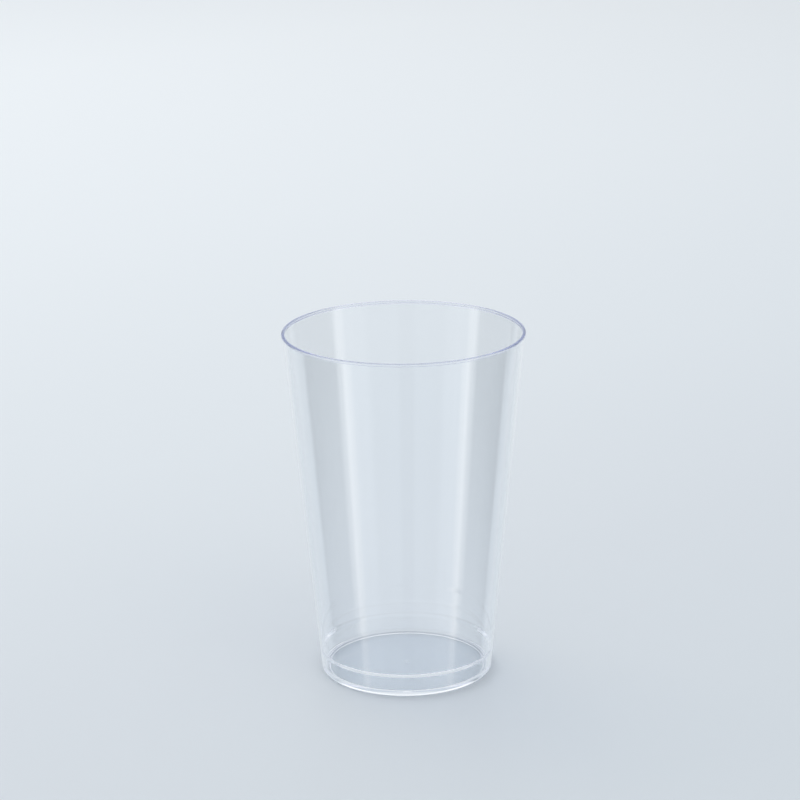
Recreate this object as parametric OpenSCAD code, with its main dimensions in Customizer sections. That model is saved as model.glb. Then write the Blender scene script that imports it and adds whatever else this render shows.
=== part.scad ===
// Clear stacking tumbler, moulded in one piece.
// Half of its wall section is drawn once, with r to the right and z up, and turned about the axis.
// The cup stands on z = 0 with its axis on the Z axis.

/* [Mouth] */
// Diameter of the mouth, over the bead
rim_d = 80; // [74:0.5:92]
// Height of the bead round the mouth
bead_h = 1; // [0.8:0.05:2]
// How far the bead stands out past the side wall
bead_out = 0.4; // [0.3:0.05:1]
// Rounding of the lip, on both sides of the mouth
lip_round = 0.42; // [0.2:0.02:0.6]
// Rounding of the bead's lower edge
bead_round = 0.2; // [0.1:0.02:0.24]

/* [Side wall] */
// Height of the whole cup
cup_h = 117; // [90:1:150]
// Thickness of the side wall, square to its slope
wall_t = 0.65; // [0.5:0.05:1]

/* [Foot] */
// Diameter of the side wall where it reaches the table
foot_d = 57; // [50:0.5:60]
// Rounding of the foot's outer corner
foot_round = 0.75; // [0.4:0.05:1]
// Width of the flat ring that the cup stands on
ring_w = 1.6; // [1:0.1:4]
// Depth of the hollow inside that ring
hollow_h = 0.35; // [0.3:0.05:0.6]
// Slope of the ring's inner side, from the level
ring_slope = 45; // [30:1:75]

/* [Floor] */
// Thickness of the floor
floor_t = 1.15; // [0.8:0.05:1.6]
// Rounding where the floor turns up into the heel
floor_round = 1; // [0.4:0.05:1.2]
// Diameter of the gate mark in the middle of the underside
gate_d = 1.6; // [1:0.1:4]
// How far the gate mark stands down from the floor
gate_h = 0.2; // [0.1:0.05:0.25]

/* [Stacking] */
// Gap between the side walls of nested cups, square to their slope
nest_gap = 0.045; // [0.02:0.005:0.15]
// Slope of the shoulder that carries a nested cup, from the level
shoulder_slope = 60; // [45:1:70]
// How far the shoulder stands in from the side wall, square to its slope
shoulder_w = 0.65; // [0.5:0.05:1]
// Rounding of the shoulder's two edges
shoulder_round = 0.6; // [0.2:0.05:0.8]

/* [Hidden] */
$fn = 128;
crystal = [0.86, 0.89, 0.94, 0.45];

rim_r = rim_d / 2;
foot_r = foot_d / 2;
gate_r = gate_d / 2;
floor_z = hollow_h + floor_t;
bead_z = cup_h - bead_h;

// The outer face of the side wall is one cone, from the table to the level of the lip.
taper = (rim_r - bead_out - foot_r) / cup_h;
lean = atan(taper);
function outer_r(z) = foot_r + taper * z;
function inner_r(z, thickness) = outer_r(z) - thickness / cos(lean);

// The lip's two roundings leave a flat between them, however thin the wall is.
lip_w = rim_r - inner_r(cup_h, wall_t);
lip_flat_share = 0.1;
lip_r = min(lip_round, lip_w * (1 - lip_flat_share) / 2);

// A nested cup stands this much higher, so that the walls keep their gap.
stack_pitch = (wall_t + nest_gap) / sin(lean);

// The foot's rounded corner starts this far in from where its two sides would meet.
foot_in = foot_round / tan((90 + lean) / 2);
ring_out_r = foot_r - foot_in;
ring_in_r = ring_out_r - ring_w;
hollow_r = ring_in_r - hollow_h / tan(ring_slope);

// The heel is the thicker wall below the shoulder. The shoulder is a cone that touches
// the rounded foot of a nested cup at this point.
heel_t = wall_t + shoulder_w;
seat_r = ring_out_r + foot_round * sin(shoulder_slope);
seat_z = stack_pitch + foot_round * (1 - cos(shoulder_slope));

// A corner of the outline is [r, z, rounding].
function spot(corner) = [corner[0], corner[1]];
function unit(v) = v / norm(v);

// Where the shoulder's cone meets a face of the given thickness inside the outer face
function shoulder_z(thickness) =
    (inner_r(0, thickness) - seat_r + seat_z / tan(shoulder_slope)) / (1 / tan(shoulder_slope) - taper);
function shoulder_corner(thickness) =
    [inner_r(shoulder_z(thickness), thickness), shoulder_z(thickness), shoulder_round];

// Half section: out along the underside, up the outside, over the lip and down the inside
outline = [
    [0, hollow_h - gate_h, 0],
    [gate_r, hollow_h - gate_h, 0],
    [gate_r, hollow_h, 0],
    [hollow_r, hollow_h, 0],
    [ring_in_r, 0, 0],
    [foot_r, 0, foot_round],
    [outer_r(bead_z), bead_z, 0],
    [rim_r, bead_z, bead_round],
    [rim_r, cup_h, lip_r],
    [inner_r(cup_h, wall_t), cup_h, lip_r],
    shoulder_corner(wall_t),
    shoulder_corner(heel_t),
    [inner_r(floor_z, heel_t), floor_z, floor_round],
    [0, floor_z, 0]
];

// The wedge between a sharp corner of the outline and the arc that rounds it. Its tip lies
// past the corner, so that it cuts clear of a corner that points out and runs into the
// solid at one that points in.
module corner_wedge(before, corner, after) {
    p = spot(corner);
    a = unit(spot(before) - p);
    b = unit(spot(after) - p);
    inward = unit(a + b);
    half = acos(a * b) / 2;
    reach = corner[2] / tan(half);
    difference() {
        polygon([p + a * reach, p + b * reach, p - inward * reach / 2]);
        translate(p + inward * corner[2] / sin(half)) circle(corner[2]);
    }
}

// The wedges of the corners that point out of the solid, or of those that point into it
module wedges(outward) {
    for (i = [1 : len(outline) - 2]) {
        a = spot(outline[i]) - spot(outline[i - 1]);
        b = spot(outline[i + 1]) - spot(outline[i]);
        if (outline[i][2] > 0 && (a[0] * b[1] > a[1] * b[0]) == outward)
            corner_wedge(outline[i - 1], outline[i], outline[i + 1]);
    }
}

module wall_section() {
    difference() {
        union() {
            polygon([for (corner = outline) spot(corner)]);
            wedges(outward = false);
        }
        wedges(outward = true);
    }
}

module tumbler() {
    color(crystal) rotate_extrude() wall_section();
}

tumbler();
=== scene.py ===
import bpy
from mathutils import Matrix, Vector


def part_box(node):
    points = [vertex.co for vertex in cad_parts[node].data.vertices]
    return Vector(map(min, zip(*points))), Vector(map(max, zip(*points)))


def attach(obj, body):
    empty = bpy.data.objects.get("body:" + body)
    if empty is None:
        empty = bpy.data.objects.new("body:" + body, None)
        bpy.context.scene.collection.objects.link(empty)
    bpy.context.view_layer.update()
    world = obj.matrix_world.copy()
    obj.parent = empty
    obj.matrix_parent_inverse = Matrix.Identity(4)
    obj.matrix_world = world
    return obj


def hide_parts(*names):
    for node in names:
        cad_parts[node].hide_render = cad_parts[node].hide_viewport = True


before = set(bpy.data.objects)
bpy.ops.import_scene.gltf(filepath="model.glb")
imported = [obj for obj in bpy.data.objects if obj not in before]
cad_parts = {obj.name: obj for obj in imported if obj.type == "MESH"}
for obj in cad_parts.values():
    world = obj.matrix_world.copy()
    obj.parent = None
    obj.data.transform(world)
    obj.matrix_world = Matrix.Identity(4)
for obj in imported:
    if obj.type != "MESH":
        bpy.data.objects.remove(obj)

"""A clear moulded tumbler on a pale sweep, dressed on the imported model's frame.

The cup is one turned wall. A small outline of corners is rounded, divided and turned about
the Z axis by Geometry Nodes, and takes the place of the CAD solid. Everything else is stage:
the sweep, two lamps and the room that the gloss mirrors.
"""

import logging
import math
from collections.abc import Sequence
from dataclasses import dataclass, field
from enum import Enum
from typing import Any

import bpy
from mathutils import Matrix, Vector

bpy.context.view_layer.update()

LOG = logging.getLogger("tumbler")
MM = 0.001

# A Mix node of colours has its two colours and its result at these sockets.
MIX_A, MIX_B, MIXED = 6, 7, 2
# A ray's depth is a whole number, so one above this has been mirrored at least once.
MIRRORED_DEPTH = 0.5


def linear(code: str, gain: float = 1.0) -> tuple[float, float, float, float]:
    """Turns an sRGB hex colour to the linear values that a shader reads.

    Args:
        code: six hex digits, such as "DDE5EC".
        gain: how many times brighter than written the colour is.

    Returns:
        Linear red, green and blue, and an alpha of 1.
    """
    parts = [int(code[i : i + 2], 16) / 255 for i in (0, 2, 4)]
    # The sRGB standard's own curve: straight near black, and a power above.
    red, green, blue = (c / 12.92 if c <= 0.04045 else ((c + 0.055) / 1.055) ** 2.4 for c in parts)
    return gain * red, gain * green, gain * blue, 1.0


def add(
    tree: bpy.types.NodeTree, kind: str, inputs: dict[Any, Any] | None = None, **settings: Any
) -> Any:
    """Adds one node, sets its properties and fills or links its inputs.

    Args:
        tree: the node tree that gets the node.
        kind: the node's type, such as "ShaderNodeMath".
        inputs: what each input gets, by name or number: a value, or another node's output.
        settings: properties of the node itself.

    Returns:
        The new node.
    """
    node = tree.nodes.new(kind)
    for name, value in settings.items():
        setattr(node, name, value)
    for key, value in (inputs or {}).items():
        if isinstance(value, bpy.types.NodeSocket):
            tree.links.new(value, node.inputs[key])
        else:
            node.inputs[key].default_value = value
    return node


def blend_of(
    tree: bpy.types.NodeTree,
    value: bpy.types.NodeSocket,
    stops: Sequence[tuple[float, str]],
    gain: float = 1.0,
) -> Any:
    """Adds a colour ramp over the range of its own stops.

    Args:
        tree: the node tree that gets the ramp.
        value: the output that picks the colour.
        stops: the value and the sRGB hex colour of each stop, in rising order.
        gain: how many times brighter than written the colours are.

    Returns:
        The ramp node.
    """
    first, last = stops[0][0], stops[-1][0]
    share = add(tree, "ShaderNodeMapRange", {"Value": value, "From Min": first, "From Max": last})
    ramp = add(tree, "ShaderNodeValToRGB", {0: share.outputs[0]})
    marks = ramp.color_ramp.elements
    while len(marks) < len(stops):
        marks.new(1.0)
    for mark, (place, code) in zip(marks, stops):
        mark.position = (place - first) / (last - first)
        mark.color = linear(code, gain)
    return ramp


@dataclass(frozen=True)
class Corner:
    """A corner of the cup's half section."""

    r: float
    z: float
    rounding: float = 0.0


@dataclass(frozen=True)
class CrystalPolystyrene:
    """Moulded crystal polystyrene: glass-clear and hard, from a polished mould.

    It bends light more than acrylic or glass does, so edges and roundings show as crisp lines.
    A trace of blue dye, which hides the resin's own yellow, gathers where light runs a long way
    along the wall, at the lip and at the silhouette. At the lip and the bead's lower edge the
    skin is painted violet and made a trace rougher: painted shade, which draws the fine violet
    line that light piped a long way gives there. Flow lines run up the wall, but not over the
    bead and the heel. Real ones are finer than a pixel and are drawn a few times wider.
    """

    name: str = "moulded crystal polystyrene"
    ior: float = 1.59
    tint: str = "FDFEFF"
    dye: str = "C9CFEF"
    dye_per_metre: float = 1.6
    polish: float = 0.012
    # Painted shade: the violet tint of the fine line at the lip and the bead's lower edge.
    painted_edge_shade: str = "CCCEE3"
    edge_polish: float = 0.08
    bead_edge: tuple[tuple[float, str], ...] = (
        (115.85 * MM, "000000"),
        (115.95 * MM, "FFFFFF"),
        (116.20 * MM, "FFFFFF"),
        (116.30 * MM, "000000"),
    )
    bead_face: tuple[float, float] = (39.1 * MM, 39.4 * MM)
    lip_edge: tuple[float, float] = (116.75 * MM, 116.85 * MM)
    flow_line_width: float = 2.0 * MM
    flow_line_length: float = 60 * MM
    flow_line_height: float = 0.007 * MM
    flow_line_detail: float = 1.0
    flow_line_low: tuple[float, float] = (9 * MM, 14 * MM)
    flow_line_high: tuple[float, float] = (115 * MM, 112 * MM)
    wall_radius: float = 34 * MM
    wall_shadow: str = "F7F9FC"
    foot_shadow: str = "A4ABB6"
    foot_inner: float = 24 * MM
    foot_outer: float = 26.5 * MM
    foot_low: float = 2 * MM
    foot_high: float = 7 * MM

    def material(self) -> bpy.types.Material:
        """Builds the material.

        Returns:
            The material, with its skin, its dyed inside and the soft shadow that it casts.
        """
        made = bpy.data.materials.new(self.name)
        made.use_nodes = True
        tree = made.node_tree
        tree.nodes.clear()
        place = add(tree, "ShaderNodeTexCoord").outputs["Object"]
        parts = add(tree, "ShaderNodeSeparateXYZ", {0: place})
        height = parts.outputs["Z"]
        flat = add(tree, "ShaderNodeCombineXYZ", {"X": parts.outputs["X"], "Y": parts.outputs["Y"]})
        radius = add(
            tree, "ShaderNodeVectorMath", {0: flat.outputs[0]}, operation="LENGTH"
        ).outputs["Value"]
        # Painted shade: the skin's colour turns violet, and its roughness rises, at the lip and the
        # bead's lower edge.
        edge = self.painted_edge_share(tree, height, radius)
        colour = add(
            tree,
            "ShaderNodeMix",
            {"Factor": edge, MIX_A: linear(self.tint), MIX_B: linear(self.painted_edge_shade)},
            data_type="RGBA",
        )
        gloss = add(
            tree,
            "ShaderNodeMapRange",
            {"Value": edge, "To Min": self.polish, "To Max": self.edge_polish},
        )
        skin = add(
            tree,
            "ShaderNodeBsdfPrincipled",
            {
                "Base Color": colour.outputs[MIXED],
                "Roughness": gloss.outputs[0],
                "IOR": self.ior,
                "Transmission Weight": 1.0,
                "Normal": self.flow_lines(tree, height, flat.outputs[0]),
            },
        )
        passed = add(
            tree, "ShaderNodeBsdfTransparent", {"Color": self.passed_light(tree, height, radius)}
        )
        path = add(tree, "ShaderNodeLightPath")
        surface = add(
            tree,
            "ShaderNodeMixShader",
            {0: path.outputs["Is Shadow Ray"], 1: skin.outputs[0], 2: passed.outputs[0]},
        )
        inside = add(
            tree,
            "ShaderNodeVolumeAbsorption",
            {"Color": linear(self.dye), "Density": self.dye_per_metre},
        )
        add(
            tree,
            "ShaderNodeOutputMaterial",
            {"Surface": surface.outputs[0], "Volume": inside.outputs[0]},
            is_active_output=True,
        )
        return made

    def painted_edge_share(
        self, tree: bpy.types.NodeTree, height: bpy.types.NodeSocket, radius: bpy.types.NodeSocket
    ) -> bpy.types.NodeSocket:
        """Adds where the skin takes its painted violet shade: wholly at the bead's lower edge and the
        lip, or not at all.

        Args:
            tree: the material's node tree.
            height: the point's height above the table.
            radius: its distance from the cup's axis.

        Returns:
            The share's socket, from 0 to 1.
        """
        bead = blend_of(tree, height, self.bead_edge)
        inner, outer = self.bead_face
        face = add(
            tree, "ShaderNodeMapRange", {"Value": radius, "From Min": inner, "From Max": outer}
        )
        under = add(
            tree, "ShaderNodeMath", {0: bead.outputs[0], 1: face.outputs[0]}, operation="MULTIPLY"
        )
        low, high = self.lip_edge
        lip = add(tree, "ShaderNodeMapRange", {"Value": height, "From Min": low, "From Max": high})
        return add(
            tree, "ShaderNodeMath", {0: under.outputs[0], 1: lip.outputs[0]}, operation="MAXIMUM"
        ).outputs[0]

    def flow_lines(
        self, tree: bpy.types.NodeTree, height: bpy.types.NodeSocket, flat: bpy.types.NodeSocket
    ) -> bpy.types.NodeSocket:
        """Adds the flow lines, which lean with the wall because they go by direction from the axis.

        Args:
            tree: the material's node tree.
            height: the point's height above the table.
            flat: its place across the axis.

        Returns:
            The bumped normal's socket.
        """
        around = add(tree, "ShaderNodeVectorMath", {0: flat}, operation="NORMALIZE")
        turned = add(
            tree,
            "ShaderNodeVectorMath",
            {0: around.outputs[0], "Scale": self.wall_radius / self.flow_line_width},
            operation="SCALE",
        )
        rise = add(
            tree, "ShaderNodeMath", {0: height, 1: self.flow_line_length}, operation="DIVIDE"
        )
        upright = add(tree, "ShaderNodeCombineXYZ", {"Z": rise.outputs[0]})
        grain = add(
            tree, "ShaderNodeVectorMath", {0: turned.outputs[0], 1: upright.outputs[0]}, operation="ADD"
        )
        flow = add(
            tree,
            "ShaderNodeTexNoise",
            {"Vector": grain.outputs[0], "Scale": 1.0, "Detail": self.flow_line_detail},
        )
        heel, bead = (
            add(tree, "ShaderNodeMapRange", {"Value": height, "From Min": smooth, "From Max": lined})
            for smooth, lined in (self.flow_line_low, self.flow_line_high)
        )
        depth = add(
            tree, "ShaderNodeMath", {0: heel.outputs[0], 1: bead.outputs[0]}, operation="MULTIPLY"
        )
        bump = add(
            tree,
            "ShaderNodeBump",
            {
                "Height": flow.outputs["Fac"],
                "Distance": self.flow_line_height,
                "Strength": depth.outputs[0],
            },
        )
        return bump.outputs[0]

    def passed_light(
        self, tree: bpy.types.NodeTree, height: bpy.types.NodeSocket, radius: bpy.types.NodeSocket
    ) -> bpy.types.NodeSocket:
        """Adds what a lamp's ray keeps where it meets the skin, which is less at the foot's ring.

        Args:
            tree: the material's node tree.
            height: the point's height above the table.
            radius: its distance from the cup's axis.

        Returns:
            The colour's socket.
        """
        outer = add(
            tree,
            "ShaderNodeMapRange",
            {"Value": radius, "From Min": self.foot_inner, "From Max": self.foot_outer},
        )
        low = add(
            tree,
            "ShaderNodeMapRange",
            {"Value": height, "From Min": self.foot_high, "From Max": self.foot_low},
        )
        foot = add(
            tree, "ShaderNodeMath", {0: outer.outputs[0], 1: low.outputs[0]}, operation="MULTIPLY"
        )
        shadow = add(
            tree,
            "ShaderNodeMix",
            {
                "Factor": foot.outputs[0],
                MIX_A: linear(self.wall_shadow),
                MIX_B: linear(self.foot_shadow),
            },
            data_type="RGBA",
        )
        return shadow.outputs[MIXED]


class TurnedSection:
    """The Geometry Nodes tree that turns a half section into a closed skin."""

    def __init__(self) -> None:
        """Makes the tree and its named inputs."""
        self.tree = bpy.data.node_groups.new("turned section", "GeometryNodeTree")
        new = self.tree.interface.new_socket
        new("Section", in_out="INPUT", socket_type="NodeSocketGeometry")
        self.sides = new("Sides", in_out="INPUT", socket_type="NodeSocketInt")
        self.arc_steps = new("Steps in a rounding", in_out="INPUT", socket_type="NodeSocketInt")
        self.longest = new("Longest step", in_out="INPUT", socket_type="NodeSocketFloat")
        self.weld = new("Weld distance", in_out="INPUT", socket_type="NodeSocketFloat")
        self.finish = new("Finish", in_out="INPUT", socket_type="NodeSocketMaterial")
        new("Skin", in_out="OUTPUT", socket_type="NodeSocketGeometry")
        self.build()

    def build(self) -> None:
        """Adds the nodes: round the corners, divide the sides, turn, weld and dress."""
        tree = self.tree
        given = add(tree, "NodeGroupInput")
        rounded = add(
            tree,
            "GeometryNodeFilletCurve",
            {
                "Curve": given.outputs["Section"],
                "Count": given.outputs["Steps in a rounding"],
                "Radius": add(tree, "GeometryNodeInputRadius").outputs[0],
            },
            mode="POLY",
        )
        place = add(tree, "GeometryNodeInputPosition").outputs[0]
        index = add(tree, "GeometryNodeInputIndex").outputs[0]
        after = add(tree, "ShaderNodeMath", {0: index, 1: 1.0}, operation="ADD")
        ahead = add(tree, "GeometryNodeFieldAtIndex", data_type="FLOAT_VECTOR", domain="POINT")
        tree.links.new(after.outputs[0], ahead.inputs["Index"])
        tree.links.new(place, ahead.inputs["Value"])
        length = add(
            tree, "ShaderNodeVectorMath", {0: ahead.outputs[0], 1: place}, operation="DISTANCE"
        )
        share = add(
            tree,
            "ShaderNodeMath",
            {0: length.outputs["Value"], 1: given.outputs["Longest step"]},
            operation="DIVIDE",
        )
        cuts = add(tree, "ShaderNodeMath", {0: share.outputs[0]}, operation="FLOOR")
        divided = add(
            tree, "GeometryNodeSubdivideCurve", {"Curve": rounded.outputs[0], "Cuts": cuts.outputs[0]}
        )
        count = add(
            tree, "GeometryNodeAttributeDomainSize", {0: divided.outputs[0]}, component="CURVE"
        )
        rows = add(tree, "ShaderNodeMath", {0: given.outputs["Sides"], 1: 1.0}, operation="ADD")
        grid = add(
            tree,
            "GeometryNodeMeshGrid",
            {"Vertices X": count.outputs["Point Count"], "Vertices Y": rows.outputs[0]},
        )
        along = add(tree, "ShaderNodeMath", {0: index, 1: rows.outputs[0]}, operation="DIVIDE")
        station = add(tree, "ShaderNodeMath", {0: along.outputs[0]}, operation="FLOOR")
        side = add(tree, "ShaderNodeMath", {0: index, 1: rows.outputs[0]}, operation="MODULO")
        turn = add(
            tree, "ShaderNodeMath", {0: side.outputs[0], 1: given.outputs["Sides"]}, operation="DIVIDE"
        )
        angle = add(tree, "ShaderNodeMath", {0: turn.outputs[0], 1: math.tau}, operation="MULTIPLY")
        picked = add(
            tree,
            "GeometryNodeSampleIndex",
            {0: divided.outputs[0]},
            data_type="FLOAT_VECTOR",
            domain="POINT",
        )
        tree.links.new(place, picked.inputs["Value"])
        tree.links.new(station.outputs[0], picked.inputs["Index"])
        spun = add(
            tree,
            "ShaderNodeVectorRotate",
            {"Vector": picked.outputs[0], "Angle": angle.outputs[0]},
            rotation_type="Z_AXIS",
        )
        shaped = add(
            tree, "GeometryNodeSetPosition", {"Geometry": grid.outputs[0], "Position": spun.outputs[0]}
        )
        welded = add(
            tree,
            "GeometryNodeMergeByDistance",
            {"Geometry": shaped.outputs[0], "Distance": given.outputs["Weld distance"]},
        )
        outward = add(tree, "GeometryNodeFlipFaces", {"Mesh": welded.outputs[0]})
        smooth = add(tree, "GeometryNodeSetShadeSmooth", {"Geometry": outward.outputs[0]})
        real = add(tree, "GeometryNodeRealizeInstances", {"Geometry": smooth.outputs[0]})
        dressed = add(
            tree,
            "GeometryNodeSetMaterial",
            {"Geometry": real.outputs[0], "Material": given.outputs["Finish"]},
        )
        add(tree, "NodeGroupOutput", {"Skin": dressed.outputs[0]})


@dataclass
class Tumbler:
    """The cup: one moulded wall from the gate mark under its floor to the bead at its mouth.

    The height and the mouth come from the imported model. The rest are the part's own sizes.
    """

    height: float
    rim_r: float
    bead_h: float = 1.0 * MM
    bead_out: float = 0.4 * MM
    lip_round: float = 0.42 * MM
    bead_round: float = 0.2 * MM
    bead_fillet: float = 0.15 * MM
    wall_t: float = 0.65 * MM
    foot_r: float = 28.5 * MM
    foot_round: float = 0.75 * MM
    ring_w: float = 1.6 * MM
    hollow_h: float = 0.35 * MM
    floor_t: float = 1.15 * MM
    floor_round: float = 1.0 * MM
    gate_r: float = 0.8 * MM
    gate_h: float = 0.2 * MM
    nest_gap: float = 0.045 * MM
    shoulder_slope: float = math.radians(60)
    shoulder_w: float = 0.65 * MM
    shoulder_round: float = 0.6 * MM
    edge_break: float = 0.06 * MM
    support: float = 0.12 * MM
    support_room: float = 3.0
    sides: int = 400
    arc_steps: int = 8
    longest_step: float = 3.0 * MM
    weld: float = 0.001 * MM
    finish: CrystalPolystyrene = field(default_factory=CrystalPolystyrene)

    @property
    def taper(self) -> float:
        """How far the outer face goes out for each metre that it rises."""
        return (self.rim_r - self.bead_out - self.foot_r) / self.height

    @property
    def lean(self) -> float:
        """The side wall's angle from the upright."""
        return math.atan(self.taper)

    @property
    def ring_out_r(self) -> float:
        """The radius at which the foot's rounded corner leaves the table."""
        return self.foot_r - self.foot_round / math.tan((math.pi / 2 + self.lean) / 2)

    def inner_r(self, z: float, thickness: float) -> float:
        """The radius at a height of a face that lies a thickness inside the outer face."""
        return self.foot_r + self.taper * z - thickness / math.cos(self.lean)

    def shoulder(self, thickness: float) -> Corner:
        """Finds where the shoulder's cone meets a face inside the outer face.

        Args:
            thickness: how far inside the outer face that face lies, square to the slope.

        Returns:
            The shoulder's corner on that face.
        """
        run = 1 / math.tan(self.shoulder_slope)
        pitch = (self.wall_t + self.nest_gap) / math.sin(self.lean)
        seat_r = self.ring_out_r + self.foot_round * math.sin(self.shoulder_slope)
        seat_z = pitch + self.foot_round * (1 - math.cos(self.shoulder_slope))
        z = (self.inner_r(0, thickness) - seat_r + seat_z * run) / (run - self.taper)
        return Corner(self.inner_r(z, thickness), z, self.shoulder_round)

    def corners(self) -> list[Corner]:
        """Lists the half section's corners, out along the underside, up, over and down inside."""
        ring_in_r = self.ring_out_r - self.ring_w
        heel_t = self.wall_t + self.shoulder_w
        floor_z = self.hollow_h + self.floor_t
        gate_z = self.hollow_h - self.gate_h
        bead_z = self.height - self.bead_h
        broken = self.edge_break
        return [
            Corner(0, gate_z),
            Corner(self.gate_r, gate_z, broken),
            Corner(self.gate_r, self.hollow_h, broken),
            Corner(ring_in_r - self.hollow_h, self.hollow_h, broken),
            Corner(ring_in_r, 0, broken),
            Corner(self.foot_r, 0, self.foot_round),
            Corner(self.foot_r + self.taper * bead_z, bead_z, self.bead_fillet),
            Corner(self.rim_r, bead_z, self.bead_round),
            Corner(self.rim_r, self.height, self.lip_round),
            Corner(self.inner_r(self.height, self.wall_t), self.height, self.lip_round),
            self.shoulder(self.wall_t),
            self.shoulder(heel_t),
            Corner(self.inner_r(floor_z, heel_t), floor_z, self.floor_round),
            Corner(0, floor_z),
        ]

    def supported(self) -> list[Corner]:
        """Adds a plain point just past each end of a rounding, so that flat sides shade flat.

        Returns:
            The corners, with the added points between them on each side that has room for them.
        """
        corners = self.corners()
        points = [Vector((c.r, c.z)) for c in corners]
        out = [corners[0]]
        for i in range(1, len(corners) - 1):
            back, onward = points[i - 1] - points[i], points[i + 1] - points[i]
            half = back.angle(onward) / 2
            reach = corners[i].rounding / math.tan(half) + self.support
            near = points[i] + back.normalized() * reach
            far = points[i] + onward.normalized() * reach
            if back.length > self.support_room * reach:
                out.append(Corner(near.x, near.y))
            out.append(corners[i])
            if onward.length > self.support_room * reach:
                out.append(Corner(far.x, far.y))
        out.append(corners[-1])
        return out

    def section(self) -> bpy.types.Object:
        """Draws the half section as a curve whose points carry their roundings."""
        corners = self.supported()
        curve = bpy.data.curves.new("half section", "CURVE")
        curve.dimensions = "3D"
        spline = curve.splines.new("POLY")
        spline.points.add(len(corners) - 1)
        for point, corner in zip(spline.points, corners):
            point.co = (corner.r, 0, corner.z, 1)
            point.radius = corner.rounding
        drawn = bpy.data.objects.new("half section", curve)
        bpy.context.scene.collection.objects.link(drawn)
        return drawn

    def build(self) -> bpy.types.Object:
        """Turns the section into the cup's mesh.

        Returns:
            The cup as a plain mesh object at the origin, with its finish.
        """
        drawn = self.section()
        turning = TurnedSection()
        step = drawn.modifiers.new("turned", "NODES")
        step.node_group = turning.tree
        step[turning.sides.identifier] = self.sides
        step[turning.arc_steps.identifier] = self.arc_steps
        step[turning.longest.identifier] = self.longest_step
        step[turning.weld.identifier] = self.weld
        step[turning.finish.identifier] = self.finish.material()
        evaluated = drawn.evaluated_get(bpy.context.evaluated_depsgraph_get())
        mesh = bpy.data.meshes.new_from_object(evaluated)
        mesh.name = "tumbler_wall"
        bpy.data.objects.remove(drawn)
        cup = bpy.data.objects.new("tumbler_wall", mesh)
        bpy.context.scene.collection.objects.link(cup)
        return cup


@dataclass(frozen=True)
class Sweep:
    """The pale sheet under the cup, with painted light: lighter to the back and, by a slant, to the
    left.

    It lies a hair below the foot, as the air that stays between two hard faces does, so that
    the foot's ring mirrors the light in its own underside.
    """

    # Painted light: the sheet's colour stands in for light that grows brighter towards the back.
    painted_light_tones: tuple[tuple[float, str], ...] = (
        (-0.15, "D6DEE5"),
        (0.06, "DAE1E8"),
        (0.31, "E1E8EE"),
        (0.73, "E8EEF3"),
        (1.40, "EFF4F8"),
    )
    # Painted light: how much lighter the sheet is painted towards the left.
    painted_light_drift: float = 0.8
    reach: float = 8.0
    air_gap: float = 0.05 * MM
    roughness: float = 0.42
    specular: float = 0.3

    def build(self) -> bpy.types.Object:
        """Lays the sheet just under the foot.

        Returns:
            The sheet.
        """
        half, low = self.reach, -self.air_gap
        mesh = bpy.data.meshes.new("sweep")
        corners = [(-half, -half, low), (half, -half, low), (half, half, low), (-half, half, low)]
        mesh.from_pydata(corners, [], [(0, 1, 2, 3)])
        mesh.materials.append(self.material())
        sheet = bpy.data.objects.new("sweep", mesh)
        bpy.context.scene.collection.objects.link(sheet)
        return sheet

    def material(self) -> bpy.types.Material:
        """Builds matt paper, which a ray that the cup has mirrored passes through to the room."""
        made = bpy.data.materials.new("matt laid paper")
        made.use_nodes = True
        tree = made.node_tree
        tree.nodes.clear()
        spot = add(tree, "ShaderNodeTexCoord").outputs["Object"]
        place = add(tree, "ShaderNodeSeparateXYZ", {0: spot})
        slant = add(
            tree,
            "ShaderNodeMath",
            {0: place.outputs["X"], 1: -self.painted_light_drift, 2: place.outputs["Y"]},
            operation="MULTIPLY_ADD",
        )
        # Painted light: the paper's colour carries the brighter and dimmer light over the sheet.
        shade = blend_of(tree, slant.outputs[0], self.painted_light_tones)
        paper = add(
            tree,
            "ShaderNodeBsdfPrincipled",
            {
                "Base Color": shade.outputs[0],
                "Roughness": self.roughness,
                "Specular IOR Level": self.specular,
            },
        )
        turns = add(tree, "ShaderNodeLightPath").outputs["Glossy Depth"]
        mirrored = add(
            tree, "ShaderNodeMath", {0: turns, 1: MIRRORED_DEPTH}, operation="GREATER_THAN"
        )
        clear = add(tree, "ShaderNodeBsdfTransparent")
        both = add(
            tree,
            "ShaderNodeMixShader",
            {0: mirrored.outputs[0], 1: paper.outputs[0], 2: clear.outputs[0]},
        )
        add(tree, "ShaderNodeOutputMaterial", {"Surface": both.outputs[0]})
        return made


@dataclass(frozen=True)
class Softbox:
    """A square lamp that faces the cup. The gloss and the clear wall don't show it."""

    name: str
    place: tuple[float, float, float]
    size: float
    power: float
    target: tuple[float, float, float] = (0.0, 0.0, 0.05)

    def build(self) -> bpy.types.Object:
        """Hangs the lamp and turns it to the cup's middle.

        Returns:
            The lamp.
        """
        lamp = bpy.data.lights.new(self.name, "AREA")
        lamp.shape = "SQUARE"
        lamp.size = self.size
        lamp.energy = self.power
        hung = bpy.data.objects.new(self.name, lamp)
        bpy.context.scene.collection.objects.link(hung)
        hung.location = self.place
        aim = Vector(self.target) - Vector(self.place)
        hung.rotation_euler = aim.to_track_quat("-Z", "Y").to_euler()
        hung.visible_glossy = False
        hung.visible_transmission = False
        return hung


class Wall(Enum):
    """What stands round the set, as a mirrored ray sees it: its tone above and at its foot."""

    CAMERA = ("969EA7", "C9CFD6")
    FRONT = ("ACB4BC", "D3D9DF")
    SIDE = ("C6CDD4", "DEE4EA")
    STRIP = ("FFFFFF", "FFFFFF")
    FLAG = ("28333C", "B8C0C8")
    BACK = ("B4BDC6", "B4BDC6")


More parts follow.
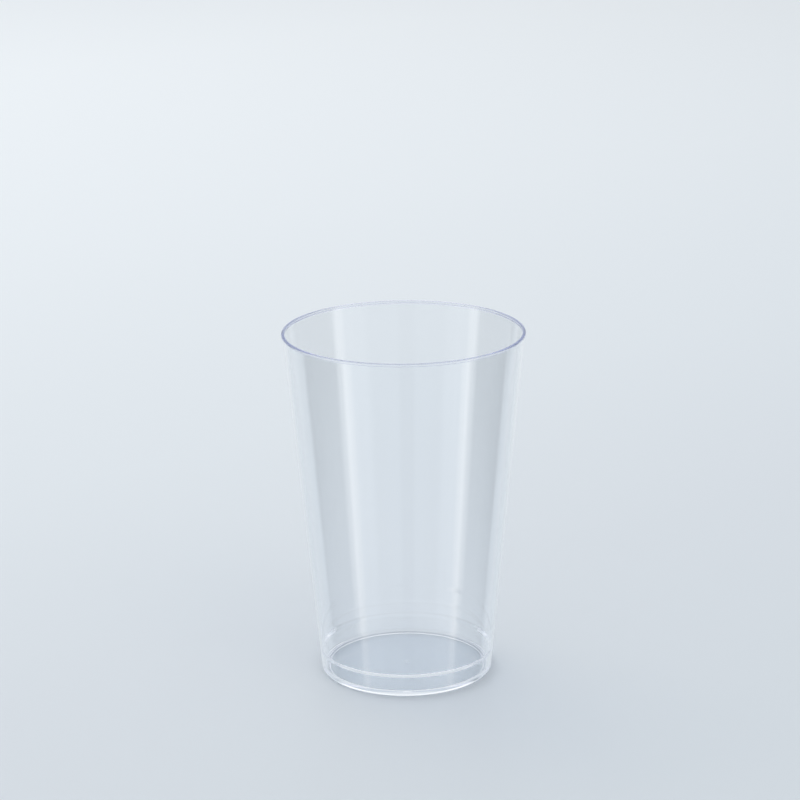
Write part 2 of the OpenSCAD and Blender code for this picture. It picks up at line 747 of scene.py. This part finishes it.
@dataclass(frozen=True)
class Room:
    """The studio: plain light for the sheet, and walls with strips and flags for the gloss.

    The walls are placed by azimuth in degrees, which is 0 at the camera's side. They are the
    same on the left and the right of an axis that is turned a little to the camera's right.
    A mirrored ray that goes down sees them too, as in a polished table, but at the back it
    sees the sheet. Pairs of numbers are heights of a ray's direction, between which one look
    changes to the next.

    The cup's near wall mirrors rays steeply down and its far wall mirrors them flatter, from
    inside and so from the other side of the room. There the axis is turned the other way and
    the room is spread, so that the bands on both walls lie over each other. Both fade
    towards the foot.
    """

    backdrop: str = "E6ECF1"
    ceiling: str = "FFFFFF"
    ceiling_gain: float = 1.25
    ceiling_straight: tuple[float, float] = (0.35, 0.60)
    ceiling_mirrored: tuple[float, float] = (0.45, 0.70)
    fade: tuple[tuple[float, str], ...] = (
        (-0.52, "000000"),
        (-0.41, "FFFFFF"),
        (-0.36, "FFFFFF"),
        (-0.32, "000000"),
        (-0.25, "000000"),
        (-0.13, "FFFFFF"),
        (0.00, "FFFFFF"),
        (0.10, "000000"),
    )
    far_wall: tuple[float, float] = (-0.36, -0.32)
    sheet_near: str = "D6DEE5"
    sheet_far: str = "E7EDF2"
    sheet_depth: tuple[float, float] = (-0.38, -0.26)
    sheet_edge: tuple[float, float] = (0.02, -0.02)
    steep: tuple[float, float] = (-0.60, -0.75)
    plain_light: float = 0.62
    wall_gain: float = 1.3
    axis: float = 3.0
    inside_share: float = 0.86
    walls: tuple[tuple[float, Wall], ...] = (
        (0, Wall.CAMERA),
        (5, Wall.CAMERA),
        (9, Wall.FRONT),
        (32, Wall.FRONT),
        (38, Wall.SIDE),
        (54, Wall.SIDE),
        (58, Wall.STRIP),
        (63, Wall.STRIP),
        (68, Wall.FLAG),
        (114, Wall.FLAG),
        (124, Wall.BACK),
        (180, Wall.BACK),
    )

    @property
    def lit_ceiling(self) -> tuple[float, float, float, float]:
        """The ceiling's light."""
        return linear(self.ceiling, self.ceiling_gain)

    def build(self) -> None:
        """Builds the world."""
        world = bpy.data.worlds.new("room")
        bpy.context.scene.world = world
        world.use_nodes = True
        tree = world.node_tree
        tree.nodes.clear()
        path = add(tree, "ShaderNodeLightPath")
        mirrored = add(
            tree,
            "ShaderNodeMath",
            {0: path.outputs["Glossy Depth"], 1: MIRRORED_DEPTH},
            operation="GREATER_THAN",
        )
        straight = add(
            tree,
            "ShaderNodeMath",
            {0: path.outputs["Is Camera Ray"], 1: path.outputs["Is Transmission Ray"]},
            operation="MAXIMUM",
        )
        plain = {"Color": linear("FFFFFF"), "Strength": self.plain_light}
        light = add(tree, "ShaderNodeBackground", plain)
        pale = add(tree, "ShaderNodeBackground", {"Color": self.above(tree), "Strength": 1.0})
        gloss = add(tree, "ShaderNodeBackground", {"Color": self.around(tree), "Strength": 1.0})
        seen = add(
            tree,
            "ShaderNodeMixShader",
            {0: straight.outputs[0], 1: light.outputs[0], 2: pale.outputs[0]},
        )
        both = add(
            tree,
            "ShaderNodeMixShader",
            {0: mirrored.outputs[0], 1: seen.outputs[0], 2: gloss.outputs[0]},
        )
        add(tree, "ShaderNodeOutputWorld", {"Surface": both.outputs[0]})

    def ray(self, tree: bpy.types.NodeTree) -> Any:
        """Adds the node that gives a ray's direction in its three parts."""
        direction = add(tree, "ShaderNodeTexCoord").outputs["Generated"]
        return add(tree, "ShaderNodeSeparateXYZ", {0: direction})

    def above(self, tree: bpy.types.NodeTree) -> bpy.types.NodeSocket:
        """Adds what a ray that was not mirrored sees: the backdrop, and a lit ceiling over it.

        Args:
            tree: the world's node tree.

        Returns:
            The colour's socket.
        """
        ray = self.ray(tree)
        start, end = self.ceiling_straight
        up = add(
            tree, "ShaderNodeMapRange", {"Value": ray.outputs["Z"], "From Min": start, "From Max": end}
        )
        whole = add(
            tree,
            "ShaderNodeMix",
            {"Factor": up.outputs[0], MIX_A: linear(self.backdrop), MIX_B: self.lit_ceiling},
            data_type="RGBA",
        )
        return whole.outputs[MIXED]

    def azimuth(self, tree: bpy.types.NodeTree, ray: Any) -> bpy.types.NodeSocket:
        """Adds where along the walls a mirrored ray ends, the same on both sides of the axis.

        Args:
            tree: the world's node tree.
            ray: the node that gives the ray's direction in its three parts.

        Returns:
            The socket of the azimuth in degrees.
        """
        height = ray.outputs["Z"]
        front = add(tree, "ShaderNodeMath", {0: ray.outputs["Y"], 1: -1.0}, operation="MULTIPLY")
        turn = add(
            tree, "ShaderNodeMath", {0: ray.outputs["X"], 1: front.outputs[0]}, operation="ARCTAN2"
        )
        near_wall, far_wall = self.far_wall
        middle = add(
            tree,
            "ShaderNodeMapRange",
            {
                "Value": height,
                "From Min": near_wall,
                "From Max": far_wall,
                "To Min": self.axis,
                "To Max": -self.axis,
            },
        )
        degrees = add(
            tree, "ShaderNodeMath", {0: turn.outputs[0], 1: math.degrees(1)}, operation="MULTIPLY"
        )
        eased = add(
            tree, "ShaderNodeMath", {0: degrees.outputs[0], 1: middle.outputs[0]}, operation="SUBTRACT"
        )
        aside = add(tree, "ShaderNodeMath", {0: eased.outputs[0]}, operation="ABSOLUTE")
        spread = add(
            tree,
            "ShaderNodeMapRange",
            {
                "Value": height,
                "From Min": near_wall,
                "From Max": far_wall,
                "To Min": 1.0,
                "To Max": self.inside_share,
            },
        )
        azimuth = add(
            tree, "ShaderNodeMath", {0: aside.outputs[0], 1: spread.outputs[0]}, operation="MULTIPLY"
        )
        return azimuth.outputs[0]

    def around(self, tree: bpy.types.NodeTree) -> bpy.types.NodeSocket:
        """Adds what a mirrored ray sees in each direction.

        Args:
            tree: the world's node tree.

        Returns:
            The colour's socket.
        """
        ray = self.ray(tree)
        height = ray.outputs["Z"]
        azimuth = self.azimuth(tree, ray)
        upper, lower = (
            blend_of(
                tree,
                azimuth,
                [(place, wall.value[part]) for place, wall in self.walls],
                self.wall_gain,
            )
            for part in (0, 1)
        )
        rise = blend_of(tree, height, self.fade)
        ring = add(
            tree,
            "ShaderNodeMix",
            {"Factor": rise.outputs[0], MIX_A: lower.outputs[0], MIX_B: upper.outputs[0]},
            data_type="RGBA",
        )
        near, far = self.sheet_depth
        sheet = blend_of(tree, height, [(near, self.sheet_near), (far, self.sheet_far)])
        over, under = self.sheet_edge
        down = add(tree, "ShaderNodeMapRange", {"Value": height, "From Min": over, "From Max": under})
        (flag_end, _), (back_start, _) = self.walls[-3:-1]
        behind = add(
            tree,
            "ShaderNodeMapRange",
            {"Value": azimuth, "From Min": flag_end, "From Max": back_start},
        )
        on_sheet = add(
            tree, "ShaderNodeMath", {0: down.outputs[0], 1: behind.outputs[0]}, operation="MULTIPLY"
        )
        level = add(
            tree,
            "ShaderNodeMix",
            {"Factor": on_sheet.outputs[0], MIX_A: ring.outputs[MIXED], MIX_B: sheet.outputs[0]},
            data_type="RGBA",
        )
        start, end = self.steep
        steep = add(tree, "ShaderNodeMapRange", {"Value": height, "From Min": start, "From Max": end})
        lowest = add(
            tree,
            "ShaderNodeMix",
            {
                "Factor": steep.outputs[0],
                MIX_A: level.outputs[MIXED],
                MIX_B: linear(self.sheet_near),
            },
            data_type="RGBA",
        )
        start, end = self.ceiling_mirrored
        up = add(
            tree,
            "ShaderNodeMapRange",
            {"Value": height, "From Min": start, "From Max": end},
            interpolation_type="SMOOTHSTEP",
        )
        whole = add(
            tree,
            "ShaderNodeMix",
            {"Factor": up.outputs[0], MIX_A: lowest.outputs[MIXED], MIX_B: self.lit_ceiling},
            data_type="RGBA",
        )
        return whole.outputs[MIXED]


@dataclass(frozen=True)
class Viewpoint:
    """The camera, as the photograph's ellipses fix it for a square image of 800 pixels."""

    image_px: float = 800.0
    focal_px: float = 2733.5
    sensor_mm: float = 36.0
    distance: float = 0.8622
    height: float = 0.3520
    pitch: float = math.radians(16.6946)
    yaw: float = math.radians(0.0903)
    roll: float = math.radians(-0.6)
    nearest: float = 0.01

    def build(self) -> bpy.types.Object:
        """Places the camera.

        Returns:
            The camera, set as the scene's own.
        """
        look = Vector(
            (
                -math.sin(self.yaw) * math.cos(self.pitch),
                math.cos(self.yaw) * math.cos(self.pitch),
                -math.sin(self.pitch),
            )
        )
        level = Vector((math.cos(self.yaw), math.sin(self.yaw), 0))
        upright = level.cross(look)
        right = level * math.cos(self.roll) + upright * math.sin(self.roll)
        up = upright * math.cos(self.roll) - level * math.sin(self.roll)
        data = bpy.data.cameras.new("viewpoint")
        data.sensor_width = self.sensor_mm
        data.lens = self.focal_px / self.image_px * self.sensor_mm
        data.clip_start = self.nearest
        camera = bpy.data.objects.new("viewpoint", data)
        bpy.context.scene.collection.objects.link(camera)
        turned = Matrix((right, up, -look)).transposed().to_4x4()
        camera.matrix_world = Matrix.Translation((0, -self.distance, self.height)) @ turned
        bpy.context.scene.camera = camera
        return camera


def follow_light(scene: bpy.types.Scene, turns: int = 1024) -> None:
    """Lets light run through the plastic to its end.

    Light that runs round in the rim, or between the faces of the floor, is mirrored hundreds
    of times before it comes out, and would otherwise be dropped and show black.

    Args:
        scene: the scene that is rendered.
        turns: how often a ray may be mirrored or bent.
    """
    scene.cycles.max_bounces = turns
    scene.cycles.glossy_bounces = turns
    scene.cycles.transmission_bounces = turns


def main() -> None:
    """Builds the cup and its stage, and says what each piece came to."""
    logging.basicConfig(level=logging.INFO, format="%(name)s: %(message)s")
    low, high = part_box("tumbler")
    mouth = min(high[0] - low[0], high[1] - low[1])
    cup = Tumbler(height=high[2] - low[2], rim_r=mouth / 2).build()
    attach(cup, "root")
    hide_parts("tumbler")
    LOG.info("%s: %d faces", cup.name, len(cup.data.polygons))

    Sweep().build()
    Room().build()
    Softbox("back softbox", place=(-0.8, 1.1, 1.85), size=1.4, power=17).build()
    Softbox("front softbox", place=(0.9, -1.2, 1.7), size=1.2, power=7).build()
    Viewpoint().build()
    bpy.context.scene.view_settings.view_transform = "Standard"
    follow_light(bpy.context.scene)


if __name__ == "__main__":
    main()
